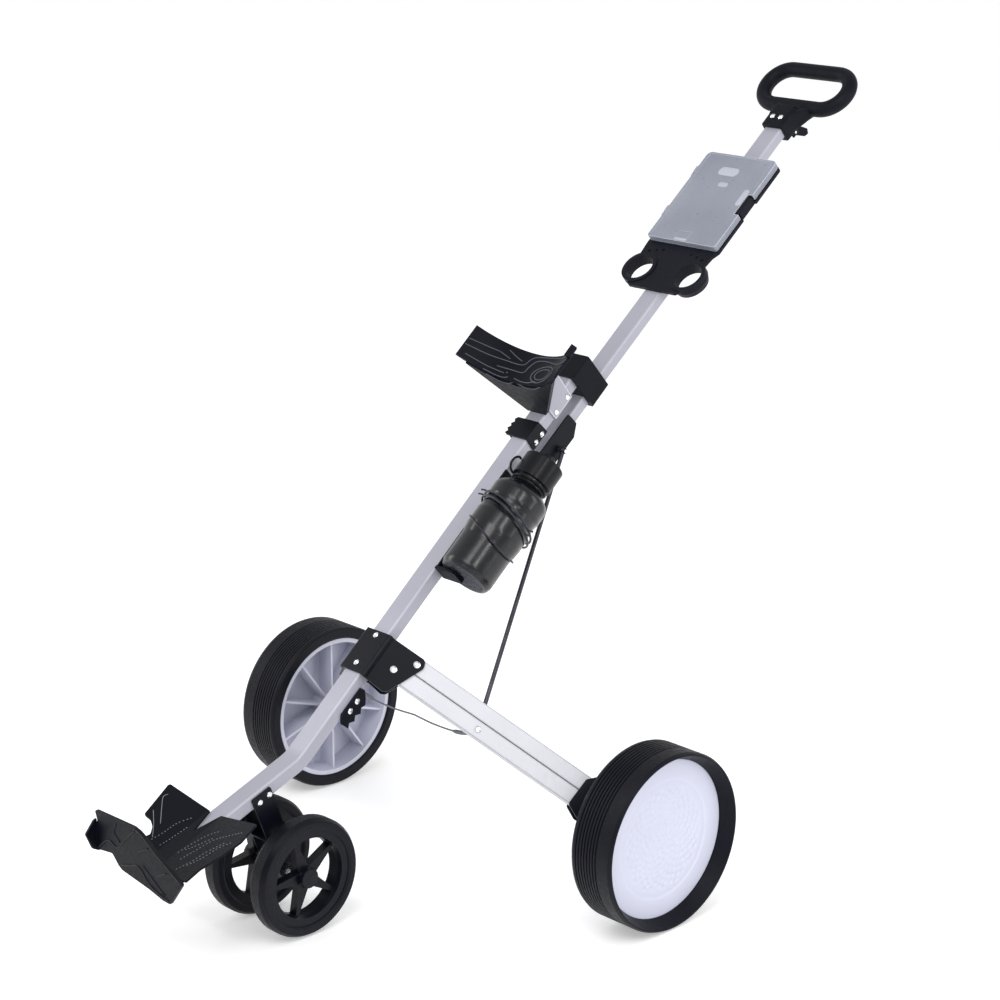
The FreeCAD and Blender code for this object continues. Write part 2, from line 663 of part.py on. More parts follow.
def mast():
    body = doc.addObject("PartDesign::Body", "mast_tube")
    sketch = new_sketch(body, "XY_Plane", -6)
    section(sketch, dim("mast_width"), dim("mast_height"), 1.5)
    pad = body.newObject("PartDesign::Pad", "mast_tube_pad")
    pad.Profile = sketch
    bind(pad, "Length", "mast_length")
    body.Placement = MAST
    done("mast_tube", body)


def push_channel():
    """Channel on the foot of the mast that drives both push rods."""
    cheeks = side_plates("channel_cheek", MAST, [(-13, 76), (-13, -4), (6, -9), (20, -9), (20, 62), (8, 78)], 15)
    web = box("channel_web", MAST, (-16, 17.5, -9), 32, "sheet_metal", 70)
    solid = fuse("channel_solid", cheeks + [web])
    line = place(MAST, -40, ROD_TOP_Y, ROD_TOP_Q, Y_AXIS, 90)
    drill = rod("channel_drill", line, 2.5, 80)
    done("push_channel", cut("push_channel", solid, drill))
    done("rod_pin", rod("rod_pin", place(line, z=11), 2.5, 58))


def push_rods():
    for which, side in SIDES:
        top = place(MAST, side * ROD_TOP_X, ROD_TOP_Y, ROD_TOP_Q).Base
        c = ROD_FOOT_C * side
        foot = place(leg_frame(side), ROD_FOOT_W, PIVOTS[1][1], c)
        way = foot.Base - top
        line = FreeCAD.Placement(top, FreeCAD.Rotation(Z_AXIS, way))
        shaft = rod(f"{which}_rod_shaft", line, "push_rod_radius", way.Length)
        ball = doc.addObject("Part::Sphere", f"{which}_rod_ball")
        ball.Radius = 5.4
        ball.Placement = FreeCAD.Placement(top, FreeCAD.Rotation())
        eye = rod(f"{which}_rod_eye", place(foot, z=-2.8), 7, 5.6)
        solid = fuse(f"{which}_rod_solid", [shaft, ball, eye])
        drill = rod(f"{which}_rod_drill", place(MAST, -60, ROD_TOP_Y, ROD_TOP_Q, Y_AXIS, 90), 3.6, 120)
        done(f"{which}_push_rod", cut(f"{which}_push_rod", solid, drill))


def tie_wire():
    """Steel cord between the two legs, with a moulded sleeve at each end."""
    middle = TUBE.multVec(V(0, 128, -372))
    halves = []
    for which, side in SIDES:
        end = TUBE.multVec(V(side * 113, 122, -366))
        line = FreeCAD.Placement(middle, FreeCAD.Rotation(Z_AXIS, end - middle))
        reach = (end - middle).Length
        halves.append(spun(f"tie_half_{which}", line, [(0, 0), (1.2, 0), (1.2, 78), (2.4, 80), (3, 84), (3, reach),
                                                       (0, reach)]))
    knot = doc.addObject("Part::Sphere", "tie_middle")
    knot.Radius = 1.2
    knot.Placement = FreeCAD.Placement(middle, FreeCAD.Rotation())
    halves.append(knot)
    done("tie_wire", fuse("tie_wire", halves))


# ---------------------------------------------------------------------------- handle and trigger

HANDLE_Y, HANDLE_Z, HANDLE_ELEVATION = 662.0, 991.0, 44.0
GRIP = place(MAST, y=1.9)


def handle():
    """Closed loop handle with the yoke that sockets the mast."""
    frame = inclined(HANDLE_Y, HANDLE_Z, HANDLE_ELEVATION)
    half = dim("handle_straight") / 2
    size = dim("handle_end_radius")
    parts = []
    for label, side in SIDES:
        end = doc.addObject("Part::Torus", f"handle_end_{label}")
        bind(end, "Radius1", "handle_end_radius")
        bind(end, "Radius2", "handle_bar_radius")
        end.Angle3 = 180
        turn = FreeCAD.Rotation(Z_AXIS, X_AXIS * side, Y_AXIS * side, "ZXY")
        end.Placement = frame.multiply(FreeCAD.Placement(V(half * side, 0, 0), turn))
        parts.append(end)
    for label, z in (("top", size), ("low", -size)):
        parts.append(rod(f"handle_bar_{label}", place(frame, -half, 0, z, Y_AXIS, 90), "handle_bar_radius",
                         "handle_straight"))
    yoke = slab("handle_yoke", GRIP, [(-19, -17), (19, -17), (19, 14), (-19, 14)], 629, 43, 3)
    neck = slab("handle_neck", GRIP, [(-24, -10), (24, -10), (24, 10), (-24, 10)], 668, 16, 4)
    lugs = [box(f"handle_lug_{label}", GRIP, (9 if side > 0 else -13, 12, 645), 4, 13, 15) for label, side in SIDES]
    solid = fuse("handle_solid", parts + [yoke, neck] + lugs)
    x = dim("mast_width") / 2
    y = dim("mast_height") / 2
    socket = slab("handle_socket", MAST, [(-x, -y), (x, -y), (x, y), (-x, y)], 620, 36, 3)
    drill = rod("handle_drill", place(GRIP, -20, 19, 652, Y_AXIS, 90), 2, 40)
    done("handle_loop", cut("handle_loop", solid, fuse("handle_tools", [socket, drill])))
    studs = [head(f"handle_rivet_{label}", GRIP, 7.5 * side, -17, 646, X_AXIS, 90) for label, side in SIDES]
    done("handle_rivets", group("handle_rivets", studs))
    done("trigger_pin", rod("trigger_pin", place(GRIP, -14, 19, 652, Y_AXIS, 90), 2, 28))
    lever = slab("trigger_lever", GRIP, [(15.6, 648), (22, 645.5), (29, 655), (43, 667), (45.5, 675), (38, 678),
                                        (27, 671), (20, 661)], -8.5, 17, 1.5, role="YZ_Plane")
    bore = rod("trigger_bore", place(GRIP, -20, 19, 652, Y_AXIS, 90), 2.05, 40)
    done("release_trigger", cut("release_trigger", lever, bore))


# ---------------------------------------------------------------------------- scorecard holder

LID_LOW_Q = 390.0
LID_AXIS_X = -68.5
LID_AXIS_Y = -15.0
HINGE_SPOTS = (434, 513)
LID_SHIFT = 1.0
HOLDER = place(MAST, y=-1.2)


def scorecard_holder():
    """Base with ball rings and tee holes, the hinged lid, its pins and the side clasp."""
    base_shape = [(-64, 384, 4), (-64, 400, 2), (-60, 400), (-60, 556, 6), (67.5, 556, 6), (67.5, 488.2),
                  (61, 488.2), (61, 454.8), (67.5, 454.8), (67.5, 390, 4),
                  (62, 380, 8), (57, 344), (46, 307, 6), (-46, 307, 6), (-60, 344)]
    tees = [(side * x, q, dim("tee_hole_radius")) for side in (1, -1) for x, q in ((26, 377), (38, 374), (50, 371))]
    plate = slab("base_plate", HOLDER, base_shape, 7.6, 5, 0, tees, role="XZ_Plane")
    rings = []
    bores = []
    for which, side in SIDES:
        line = place(HOLDER, 46 * side, 8, 340, X_AXIS, 90)
        outer = dim("ball_ring_radius")
        bore = dim("ball_ring_bore")
        rings.append(spun(f"ball_ring_{which}", line, [(bore - 1, 3), (outer - 3, 3), (outer, 12), (outer, 22),
                                                       (bore - 1, 22)]))
        bores.append(rod(f"ball_bore_{which}", place(line, z=-5), "ball_ring_bore", 40))
    lugs = []
    for i, q in enumerate(HINGE_SPOTS):
        lugs.append(box(f"hinge_foot_{i}", HOLDER, (-70.3, -12.6, q), 12, 4.8, 8))
        lugs.append(box(f"hinge_lug_{i}", HOLDER, (-70.3, -16.8, q), 3.6, 6, 8))
    for i, q in enumerate((448, 489)):
        lugs.append(box(f"clasp_lug_{i}", HOLDER, (58, -12.6, q), 8, 5, 6))
    solid = fuse("base_solid", [plate] + rings + lugs)
    holes = bores + [rod(f"hinge_hole_{i}", place(HOLDER, LID_AXIS_X, LID_AXIS_Y, q - 2), 1.5, 12)
                     for i, q in enumerate(HINGE_SPOTS)]
    holes.append(rod("clasp_hole", place(HOLDER, 63.7, -10.4, 440), 1.2, 64))
    done("scorecard_base", cut("scorecard_base", solid, fuse("base_tools", holes)))
    wires = [rod(f"hinge_pin_{i}", place(HOLDER, LID_AXIS_X, LID_AXIS_Y, q), 1.5, 19)
             for i, q in enumerate(HINGE_SPOTS)]
    wires.append(rod("clasp_pin", place(HOLDER, 63.7, -10.4, 448), 1.2, 47))
    done("lid_hinge_pins", group("lid_hinge_pins", wires))
    half = dim("card_width") / 2
    length = dim("card_length")
    low, high = LID_LOW_Q, LID_LOW_Q + length
    left, right = LID_SHIFT - half, LID_SHIFT + half
    shape = [(left, low, 4), (right, low, 4), (right, high, 8), (left, high, 8)]
    shell = slab("lid_shell", HOLDER, shape, 13, 9, 0, role="XZ_Plane")
    inner = [(left + 2, low + 2, 2), (right - 2, low + 2, 2), (right - 2, high - 2, 6), (left + 2, high - 2, 6)]
    hollow = slab("lid_hollow", HOLDER, inner, 12, 8, 0, role="XZ_Plane")
    notch = box("lid_notch", HOLDER, (57, -30, 453), 20, 20, 38)
    tray = cut("lid_tray", shell, fuse("lid_tools", [hollow, notch]))
    sleeves = [rod(f"lid_sleeve_{i}", place(HOLDER, LID_AXIS_X, LID_AXIS_Y, q + 8.5), 3.4, 10)
               for i, q in enumerate(HINGE_SPOTS)]
    joined = fuse("lid_solid", [tray] + sleeves)
    drills = [rod(f"lid_drill_{i}", place(HOLDER, LID_AXIS_X, LID_AXIS_Y, q), 1.55, 20)
              for i, q in enumerate(HINGE_SPOTS)]
    done("scorecard_lid", cut("scorecard_lid", joined, fuse("lid_drills", drills)))
    tab = slab("clasp_tab", HOLDER, [(61.8, -8.6), (66, -8.6), (66, -21), (57.6, -21), (57.6, -18.5), (61.8, -17)], 455.5,
               32, 0.5)
    done("lid_clasp", cut("lid_clasp", tab, rod("clasp_drill", place(HOLDER, 63.7, -10.4, 440), 1.25, 64)))


def rivets():
    """Every rivet head that shows on the frame."""
    made = heads("cradle_head", TUBE, [(2.6, 63), (2.6, 90)], 15.3 + PLATE)
    made += heads("saddle_head", TUBE, [(4, 10), (4, 24.5)], 15.3 + PLATE)
    made += heads("catch_head", TUBE, [(12, -424), (12, -440)], 15.3 + PLATE)
    made += heads("fork_head", FOOT, [(5, 102), (4, 118.6)], 15.3 + PLATE)
    front = -HALF_HEIGHT - GAP - PLATE
    made += [head(f"bracket_head_{i}", TUBE, 0, front, z, X_AXIS, 90) for i, z in enumerate((-338, -383))]
    done("frame_rivets", group("frame_rivets", made))


lower_tube()
tube_plugs()
guide_box()
cradle()
strap_saddle()
lower_catch()
leg_brackets()
legs()
knuckles()
rear_wheels()
front_wheels()
front_bracket()
foot_rest()
bottle_cage()
bottle()
mast()
push_channel()
push_rods()
tie_wire()
handle()
scorecard_holder()
rivets()

doc.recompute()
for item in doc.Objects:
    if "Invalid" in item.State or "Error" in item.State:
        raise RuntimeError(f"{item.Name} failed: {item.State}")
for name, item in nodes.items():
    if item.Shape.isNull() or not item.Shape.isValid() or item.Shape.Volume <= 0:
        raise RuntimeError(f"{name} has no valid shape")
os.makedirs("parts", exist_ok=True)
for name, item in nodes.items():
    item.Shape.exportStep(f"parts/{name}.step")
    print(f"{name}: {item.Shape.Volume / 1000:.1f} cm3, {len(item.Shape.Solids)} solids")
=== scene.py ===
import json
import math

import bmesh
import bpy
import numpy as np
from mathutils import Matrix, Vector


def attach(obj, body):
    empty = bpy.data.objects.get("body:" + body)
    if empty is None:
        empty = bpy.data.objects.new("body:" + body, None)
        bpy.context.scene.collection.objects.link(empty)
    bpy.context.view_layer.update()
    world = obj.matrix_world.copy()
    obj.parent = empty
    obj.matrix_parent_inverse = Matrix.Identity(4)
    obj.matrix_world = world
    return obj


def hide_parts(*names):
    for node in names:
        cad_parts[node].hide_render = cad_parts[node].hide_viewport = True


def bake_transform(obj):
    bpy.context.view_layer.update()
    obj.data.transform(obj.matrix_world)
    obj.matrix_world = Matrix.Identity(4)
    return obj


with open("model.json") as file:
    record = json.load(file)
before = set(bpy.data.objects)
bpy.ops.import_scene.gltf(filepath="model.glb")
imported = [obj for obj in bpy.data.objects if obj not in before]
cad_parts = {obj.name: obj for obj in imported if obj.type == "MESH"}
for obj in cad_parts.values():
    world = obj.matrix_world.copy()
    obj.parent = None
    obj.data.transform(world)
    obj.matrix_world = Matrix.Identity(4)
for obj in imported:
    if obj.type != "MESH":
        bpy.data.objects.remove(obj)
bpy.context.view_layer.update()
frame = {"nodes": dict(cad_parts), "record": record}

nodes = frame["nodes"]

SIDES = (("near", 1), ("far", -1))


# ------------------------------------------------------------------ frames of the object, metres


def inclined(y, z, degrees):
    """A frame whose Z runs up a tube of this elevation; its Y is the tube's rear-down normal."""
    return Matrix.Translation((0, y, z)) @ Matrix.Rotation(math.radians(degrees - 90), 4, "X")


TUBE = inclined(0.0303, 0.5639, 40.5)
MAST = TUBE @ Matrix.Translation((0, 0.0355, 0)) @ Matrix.Rotation(math.radians(-1.2), 4, "X")
FOOT = inclined(-0.5455, 0.1540, 20.5)
TOE = FOOT @ Matrix.Translation((0, -0.0095, -0.0786)) @ Matrix.Rotation(math.radians(162.8), 4, "X")
MM = 0.001


def at(base, x, y, z):
    """A point given in millimetres inside a frame."""
    return base @ Vector((x * MM, y * MM, z * MM))


# ------------------------------------------------------------------ materials


class Finish:
    """A Principled material and short ways to wire its nodes."""

    def __init__(self, name, **sockets):
        self.material = bpy.data.materials.new(name)
        self.material.use_nodes = True
        self.tree = self.material.node_tree
        self.shader = self.tree.nodes["Principled BSDF"]
        self.place = self.add("ShaderNodeTexCoord").outputs["Object"]
        for key, value in sockets.items():
            self.shader.inputs[key.replace("_", " ")].default_value = value

    def add(self, kind, **values):
        node = self.tree.nodes.new(kind)
        for key, value in values.items():
            if hasattr(node, key):
                setattr(node, key, value)
            else:
                node.inputs[key.replace("_", " ")].default_value = value
        return node

    def link(self, source, node, socket):
        self.tree.links.new(source, node.inputs[socket])

    def scaled(self, scale):
        mapping = self.add("ShaderNodeMapping")
        self.link(self.place, mapping, "Vector")
        mapping.inputs["Scale"].default_value = scale
        return mapping.outputs["Vector"]

    def noise(self, scale, detail=3.0, vector=None):
        node = self.add("ShaderNodeTexNoise", Scale=scale, Detail=detail)
        self.link(vector or self.place, node, "Vector")
        return node.outputs["Fac"]

    def ramp(self, source, low, high, start=0.3, end=0.7):
        """A colour or a value ramp from low to high."""
        node = self.add("ShaderNodeValToRGB")
        self.link(source, node, "Fac")
        for element, spot, tone in zip(node.color_ramp.elements, (start, end), (low, high)):
            element.position = spot
            element.color = tone if isinstance(tone, tuple) else (tone, tone, tone, 1)
        return node.outputs["Color"]

    def painted_edge_light_and_wear(self, colour, edge, reach=0.004, share=0.5):
        """Mixes an edge tone in along rounded edges as painted light: a paler tone is a painted highlight
        with some wear, a darker one is painted shade.
        """
        bevel = self.add("ShaderNodeBevel", samples=4, Radius=reach)
        geometry = self.add("ShaderNodeNewGeometry")
        dot = self.add("ShaderNodeVectorMath", operation="DOT_PRODUCT")
        self.link(bevel.outputs["Normal"], dot, 0)
        self.link(geometry.outputs["Normal"], dot, 1)
        amount = self.ramp(dot.outputs["Value"], share, 0.0, 0.80, 0.99)
        mix = self.add("ShaderNodeMix", data_type="RGBA")
        self.link(amount, mix, 0)
        self.link(colour, mix, 6)
        mix.inputs[7].default_value = edge
        return mix.outputs[2]

    def colour(self, source):
        self.link(source, self.shader, "Base Color")

    def rough(self, source):
        self.link(source, self.shader, "Roughness")

    def bump(self, source, strength, distance, after=None):
        node = self.add("ShaderNodeBump", Strength=strength, Distance=distance)
        self.link(source, node, "Height")
        if after:
            self.link(after, node, "Normal")
        self.link(node.outputs["Normal"], self.shader, "Normal")
        return node.outputs["Normal"]


def moulded(name, tone, rough=0.42, grain=900, depth=0.00012, edge=3.0, coat=0.0):
    """Black moulded or powder-coated finish: fine grain, faint mottling, paler edges that are a painted
    highlight with some wear.
    """
    finish = Finish(name, Specular_IOR_Level=0.12, Coat_Weight=coat, Coat_Roughness=0.2)
    mottled = finish.ramp(finish.noise(14, 4), tuple(c * 0.82 for c in tone[:3]) + (1,),
                          tuple(c * 1.25 for c in tone[:3]) + (1,))
    # Paler edge tone: painted highlight along the edges, with a little wear.
    pale = tuple(min(1, c * edge) for c in tone[:3]) + (1,)
    finish.colour(finish.painted_edge_light_and_wear(mottled, pale, 0.0016, 0.6))
    finish.rough(finish.ramp(finish.noise(grain * 0.3, 3), rough - 0.07, rough + 0.09))
    finish.bump(finish.noise(grain, 2), 0.35, depth)
    return finish.material


def anodised(name, tone, rough, metallic, along, edge):
    """Drawn tube: fine lines along its length under a satin finish."""
    finish = Finish(name, Metallic=metallic, IOR=1.5)
    lines = finish.noise(3.0, 4, finish.scaled(along))
    cloud = finish.noise(6, 3)
    low = tuple(c * 0.93 for c in tone[:3]) + (1,)
    high = tuple(min(1, c * 1.05) for c in tone[:3]) + (1,)
    # The edge tone is painted light along the rounded edges: painted highlight when pale, painted shade when
    # dark.
    finish.colour(finish.painted_edge_light_and_wear(finish.ramp(cloud, low, high), edge, 0.003, 0.9))
    finish.rough(finish.ramp(lines, rough - 0.06, rough + 0.08))
    finish.bump(lines, 0.12, 0.0001)
    return finish.material


LAVENDER = (0.385, 0.39, 0.45, 1)
WHITE_BAR = (0.60, 0.61, 0.65, 1)
INK = (0.0022, 0.0027, 0.0062, 1)

# White edge tone: a painted highlight along the tubes' edges.
silver_tube = anodised("silver_tube", LAVENDER, 0.42, 0.25, (260, 6, 6), (1, 1, 1, 1))
# Dark edge tone: painted shade along the bars' edges, where they meet.
white_steel = anodised("white_steel", WHITE_BAR, 0.38, 0.15, (90, 90, 6), (0.10, 0.10, 0.13, 1))
bracket_black = moulded("bracket_black", INK, 0.38, 1100, 0.00008, 6.5, 0.1)
black_plastic = moulded("black_plastic", INK, 0.44, 800, 0.00014, 5.0)
grey_plastic = moulded("grey_plastic", (0.0055, 0.006, 0.011, 1), 0.46, 750, 0.00016, 2.4)
handle_grip = moulded("handle_grip", (0.004, 0.0045, 0.0085, 1), 0.48, 620, 0.00022, 1.5)
rim_black = moulded("rim_black", (0.0035, 0.004, 0.0075, 1), 0.36, 700, 0.0001, 4.0, 0.1)


def bright_steel():
    finish = Finish("bright_steel", Metallic=1.0)
    finish.colour(finish.ramp(finish.noise(60, 3), (0.80, 0.81, 0.86, 1), (0.97, 0.97, 1, 1)))
    finish.rough(finish.ramp(finish.noise(300, 3), 0.16, 0.34))
    finish.bump(finish.noise(500, 2), 0.1, 0.0001)
    return finish.material


def rod_steel():
    finish = Finish("rod_steel", Metallic=0.6)
    finish.colour(finish.ramp(finish.noise(40, 3), (0.022, 0.023, 0.032, 1), (0.05, 0.05, 0.064, 1)))
    finish.rough(finish.ramp(finish.noise(400, 3), 0.26, 0.44))
    finish.bump(finish.noise(700, 2), 0.15, 0.0001)
    return finish.material


def wheel_rings(name, tone, scale, depth, rough, side_tone):
    """Rubber with its mould lines round the wheel; the wheels turn about X, so the lines follow X."""
    finish = Finish(name, Specular_IOR_Level=0.15)
    waves = finish.add("ShaderNodeTexWave", bands_direction="X", Scale=scale, Distortion=0.0)
    finish.link(finish.place, waves, "Vector")
    dust = finish.ramp(finish.noise(9, 5), tone, side_tone)
    # Paler edge tone: a painted highlight along the tyre's edges.
    finish.colour(finish.painted_edge_light_and_wear(dust, tuple(c * 2.6 for c in tone[:3]) + (1,), 0.0014, 0.5))
    finish.rough(finish.ramp(finish.noise(220, 3), rough - 0.06, rough + 0.1))
    first = finish.bump(finish.noise(900, 2), 0.35, 0.0002)
    finish.bump(waves.outputs["Fac"], 0.5, depth, first)
    return finish.material


tyre_rubber = wheel_rings("tyre_rubber", (0.0032, 0.0036, 0.0065, 1), 190, 0.0004, 0.42,
                          (0.0055, 0.006, 0.011, 1))
front_rubber = wheel_rings("front_rubber", (0.003, 0.0034, 0.0062, 1), 330, 0.0002, 0.40,
                           (0.005, 0.0055, 0.010, 1))


def wheel_white():
    finish = Finish("wheel_white", IOR=1.46)
    cloud = finish.noise(7, 3)
    colour = finish.ramp(cloud, (0.50, 0.51, 0.61, 1), (0.57, 0.58, 0.68, 1))
    # Near-white edge tone: a painted highlight along the wheel parts' edges.
    finish.colour(finish.painted_edge_light_and_wear(colour, (0.9, 0.9, 0.97, 1), 0.001, 0.5))
    finish.rough(finish.ramp(finish.noise(160, 3), 0.34, 0.48))
    finish.bump(finish.noise(420, 2), 0.2, 0.0001)
    return finish.material


def dimpled_white():
    """Satin white of the dimpled wheel discs."""
    finish = Finish("dimpled_white", IOR=1.46)
    colour = finish.ramp(finish.noise(5, 3), (0.56, 0.575, 0.70, 1), (0.62, 0.635, 0.76, 1))
    finish.colour(colour)
    finish.rough(finish.ramp(finish.noise(160, 3), 0.36, 0.5))
    finish.bump(finish.noise(420, 2), 0.15, 0.00008)
    return finish.material


def bottle_black():
    finish = Finish("bottle_black", Specular_IOR_Level=0.3, Coat_Weight=0.3, Coat_Roughness=0.1)
    finish.colour(finish.ramp(finish.noise(12, 4), (0.002, 0.0023, 0.0045, 1), (0.0035, 0.004, 0.0075, 1)))
    finish.rough(finish.ramp(finish.noise(90, 4), 0.2, 0.34))
    rounded_off = finish.add("ShaderNodeBevel", samples=6, Radius=0.006)
    finish.bump(finish.noise(260, 3), 0.12, 0.0002, rounded_off.outputs["Normal"])
    finish.link(rounded_off.outputs["Normal"], finish.shader, "Coat Normal")
    return finish.material


def lid_clear():
    """Translucent grey-lavender moulding."""
    finish = Finish("lid_clear", IOR=1.46, Transmission_Weight=0.0, Subsurface_Weight=0.25, Alpha=0.93)
    finish.shader.inputs["Subsurface Radius"].default_value = (0.006, 0.006, 0.008)
    cloud = finish.noise(12, 4)
    colour = finish.ramp(cloud, (0.245, 0.265, 0.32, 1), (0.30, 0.32, 0.38, 1))
    # Pale edge tone: a painted highlight along the lid's edges.
    finish.colour(finish.painted_edge_light_and_wear(colour, (0.86, 0.87, 0.95, 1), 0.0018, 0.9))
    finish.rough(finish.ramp(finish.noise(120, 3), 0.26, 0.42))
    finish.bump(finish.noise(500, 2), 0.18, 0.0001)
    return finish.material


BY_SLOT = {
    "silver_tube": silver_tube,
    "white_steel": white_steel,
    "bracket_black": bracket_black,
    "bright_steel": bright_steel(),
    "grey_plastic": grey_plastic,
    "black_plastic": black_plastic,
    "handle_grip": handle_grip,
    "tyre_rubber": tyre_rubber,
    "wheel_white": wheel_white(),
    "rim_black": rim_black,
    "rod_steel": rod_steel(),
    "lid_clear": lid_clear(),
    "bottle_black": bottle_black(),
    "cap_black": moulded("cap_black", (0.0032, 0.0036, 0.0062, 1), 0.34, 500, 0.0001, 5.0, 0.15),
}
slot_of = {part["node"]: part["material_slot"] for part in frame["record"]["subparts"]}
for name, obj in nodes.items():
    material = BY_SLOT[slot_of[name]]
    if "front_tyre" in name:
        material = front_rubber
    obj.data.materials.clear()
    obj.data.materials.append(material)


# ------------------------------------------------------------------ camera, floor, light

camera_data = bpy.data.cameras.new("camera")
camera = bpy.data.objects.new("camera", camera_data)
bpy.context.scene.collection.objects.link(camera)
back = Vector((0.6931, -0.6626, 0.2837)).normalized()
right = Vector((math.cos(math.radians(46.29)), math.sin(math.radians(46.29)), 0))
up = back.cross(right)
axes = Matrix((right, up, back)).transposed().to_4x4()
camera.matrix_world = Matrix.Translation((2.3995, -2.3038, 1.4749)) @ axes
camera_data.lens = 92.04
camera_data.sensor_width = 36
camera_data.clip_end = 200
bpy.context.scene.camera = camera
bpy.context.scene.view_settings.view_transform = "Standard"

FLOOR_HALF = 60.0
floor_mesh = bpy.data.meshes.new("floor")
corners = [(-FLOOR_HALF, -FLOOR_HALF, -0.0005), (FLOOR_HALF, -FLOOR_HALF, -0.0005),
           (FLOOR_HALF, FLOOR_HALF, -0.0005), (-FLOOR_HALF, FLOOR_HALF, -0.0005)]
floor_mesh.from_pydata(corners, [], [(0, 1, 2, 3)])
floor = bpy.data.objects.new("floor", floor_mesh)
bpy.context.scene.collection.objects.link(floor)
floor_finish = Finish("floor_white", Base_Color=(0.9, 0.9, 0.905, 1), Roughness=0.4,
                      Emission_Color=(1, 1, 1, 1), Emission_Strength=0.34)
floor_mesh.materials.append(floor_finish.material)

world = bpy.data.worlds.new("world")
bpy.context.scene.world = world
world.use_nodes = True
world.node_tree.nodes["Background"].inputs["Color"].default_value = (1, 1, 1, 1)
world.node_tree.nodes["Background"].inputs["Strength"].default_value = 0.72


def soft_light(name, place, aim, size, power):
    data = bpy.data.lights.new(name, "AREA")
    data.shape = "RECTANGLE"
    data.size, data.size_y = size
    data.energy = power
    light = bpy.data.objects.new(name, data)
    light.location = place
    light.rotation_euler = (Vector(aim) - Vector(place)).to_track_quat("-Z", "Y").to_euler()
    bpy.context.scene.collection.objects.link(light)


soft_light("key", (1.2, -2.0, 3.2), (0, 0, 0.4), (1.6, 1.6), 42)
soft_light("left", (-2.8, -1.6, 1.6), (0, 0, 0.4), (1.0, 2.0), 26)
soft_light("right", (3.2, 1.6, 1.4), (0, 0, 0.4), (1.0, 1.8), 22)
soft_light("strip", (2.6, -0.6, 2.4), (0, 0, 0.4), (0.25, 1.8), 16)


# ------------------------------------------------------------------ building pieces


def piece(name, verts, faces, material, body, slot):
    """A smooth mesh, which rides on a body if one is named."""
    mesh = bpy.data.meshes.new(name)
    mesh.from_pydata([tuple(v) for v in verts], [], faces)
    mesh.validate()
    builder = bmesh.new()
    builder.from_mesh(mesh)
    bmesh.ops.recalc_face_normals(builder, faces=builder.faces)
    builder.to_mesh(mesh)
    builder.free()
    mesh.materials.append(material)
    for face in mesh.polygons:
        face.use_smooth = True
    obj = bpy.data.objects.new(name, mesh)
    bpy.context.scene.collection.objects.link(obj)
    if body:
        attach(obj, body)
    return obj


def smooth_path(points, steps=8, closed=False):
    """A Catmull-Rom line through the points."""
    points = [Vector(p) for p in points]
    count = len(points)
    line = []
    spans = count if closed else count - 1
    for i in range(spans):
        if closed:
            four = [points[(i + k - 1) % count] for k in range(4)]
        else:
            four = [points[max(0, min(count - 1, i + k - 1))] for k in range(4)]
        a, b, c, d = four
        for step in range(steps):
            t = step / steps
            line.append(0.5 * (2 * b + (c - a) * t + (2 * a - 5 * b + 4 * c - d) * t * t
                               + (3 * b - a - 3 * c + d) * t ** 3))
    if not closed:
        line.append(points[-1])
    return line


def swept(line, radius, sides=8, closed=False):
    """Vertices and faces of a round bar along a line. The radius is in millimetres, or a list of them."""
    verts, faces = [], []
    count = len(line)
    normal = None
    for i, point in enumerate(line):
        ahead = line[(i + 1) % count] if closed or i < count - 1 else point
        behind = line[i - 1] if closed or i > 0 else point
        way = (ahead - behind).normalized()
        if normal is None:
            normal = way.orthogonal().normalized()
        normal = (normal - way * normal.dot(way)).normalized()
        side = way.cross(normal)
        size = radius[i] if isinstance(radius, list) else radius
        for k in range(sides):
            angle = 2 * math.pi * k / sides
            offset = (normal * math.cos(angle) + side * math.sin(angle)) * (size * MM)
            verts.append(point + offset)
    rings = count if closed else count - 1
    for i in range(rings):
        for k in range(sides):
            j = (i + 1) % count
            turn = (k + 1) % sides
            faces.append((i * sides + k, i * sides + turn, j * sides + turn, j * sides + k))
    if not closed:
        faces.append(tuple(range(sides)))
        faces.append(tuple(reversed(range((count - 1) * sides, count * sides))))
    return verts, faces


def merged(parts):
    """One mesh from several (vertices, faces) pairs."""
    verts, faces = [], []
    for some_verts, some_faces in parts:
        base = len(verts)
        verts += some_verts
        faces += [tuple(v + base for v in face) for face in some_faces]
    return verts, faces


def bead(centre, along, across, normal, size):
    """A low oval bead on a surface: three rings under a crown."""
    verts = [centre + normal * size[2]]
    sides = 8
    for share, lift in ((0.6, 0.8), (1.0, 0.0)):
        for k in range(sides):
            angle = 2 * math.pi * k / sides
            verts.append(centre + along * (math.cos(angle) * share * size[0])
                         + across * (math.sin(angle) * share * size[1]) + normal * (lift * size[2]))
    faces = [(0, 1 + k, 1 + (k + 1) % sides) for k in range(sides)]
    faces += [(1 + k, 1 + sides + k, 1 + sides + (k + 1) % sides, 1 + (k + 1) % sides) for k in range(sides)]
    faces.append(tuple(range(1 + sides, 1 + 2 * sides)))
    return verts, faces


def plate(points, normal, thick):
    """A thin flat plate with softened rim from a closed outline of points."""
    centre = sum(points, Vector()) / len(points)
    inner = [centre + (p - centre) * 0.94 + normal * thick for p in points]
    count = len(points)
    verts = list(points) + inner
    faces = [tuple(range(count)), tuple(range(count, 2 * count))]
    faces += [(i, (i + 1) % count, count + (i + 1) % count, count + i) for i in range(count)]
    return verts, faces


# ------------------------------------------------------------------ cradle mouldings

CRADLE_R, CRADLE_Y = 133.0, -204.0


def on_cradle(t, z, lift=0.0):
    """A point on the cradle's hollow face: t along its arc, z up the tube."""
    angle = t / CRADLE_R
    size = CRADLE_R - lift
    return at(TUBE, size * math.sin(angle), CRADLE_Y + size * math.cos(angle), z)


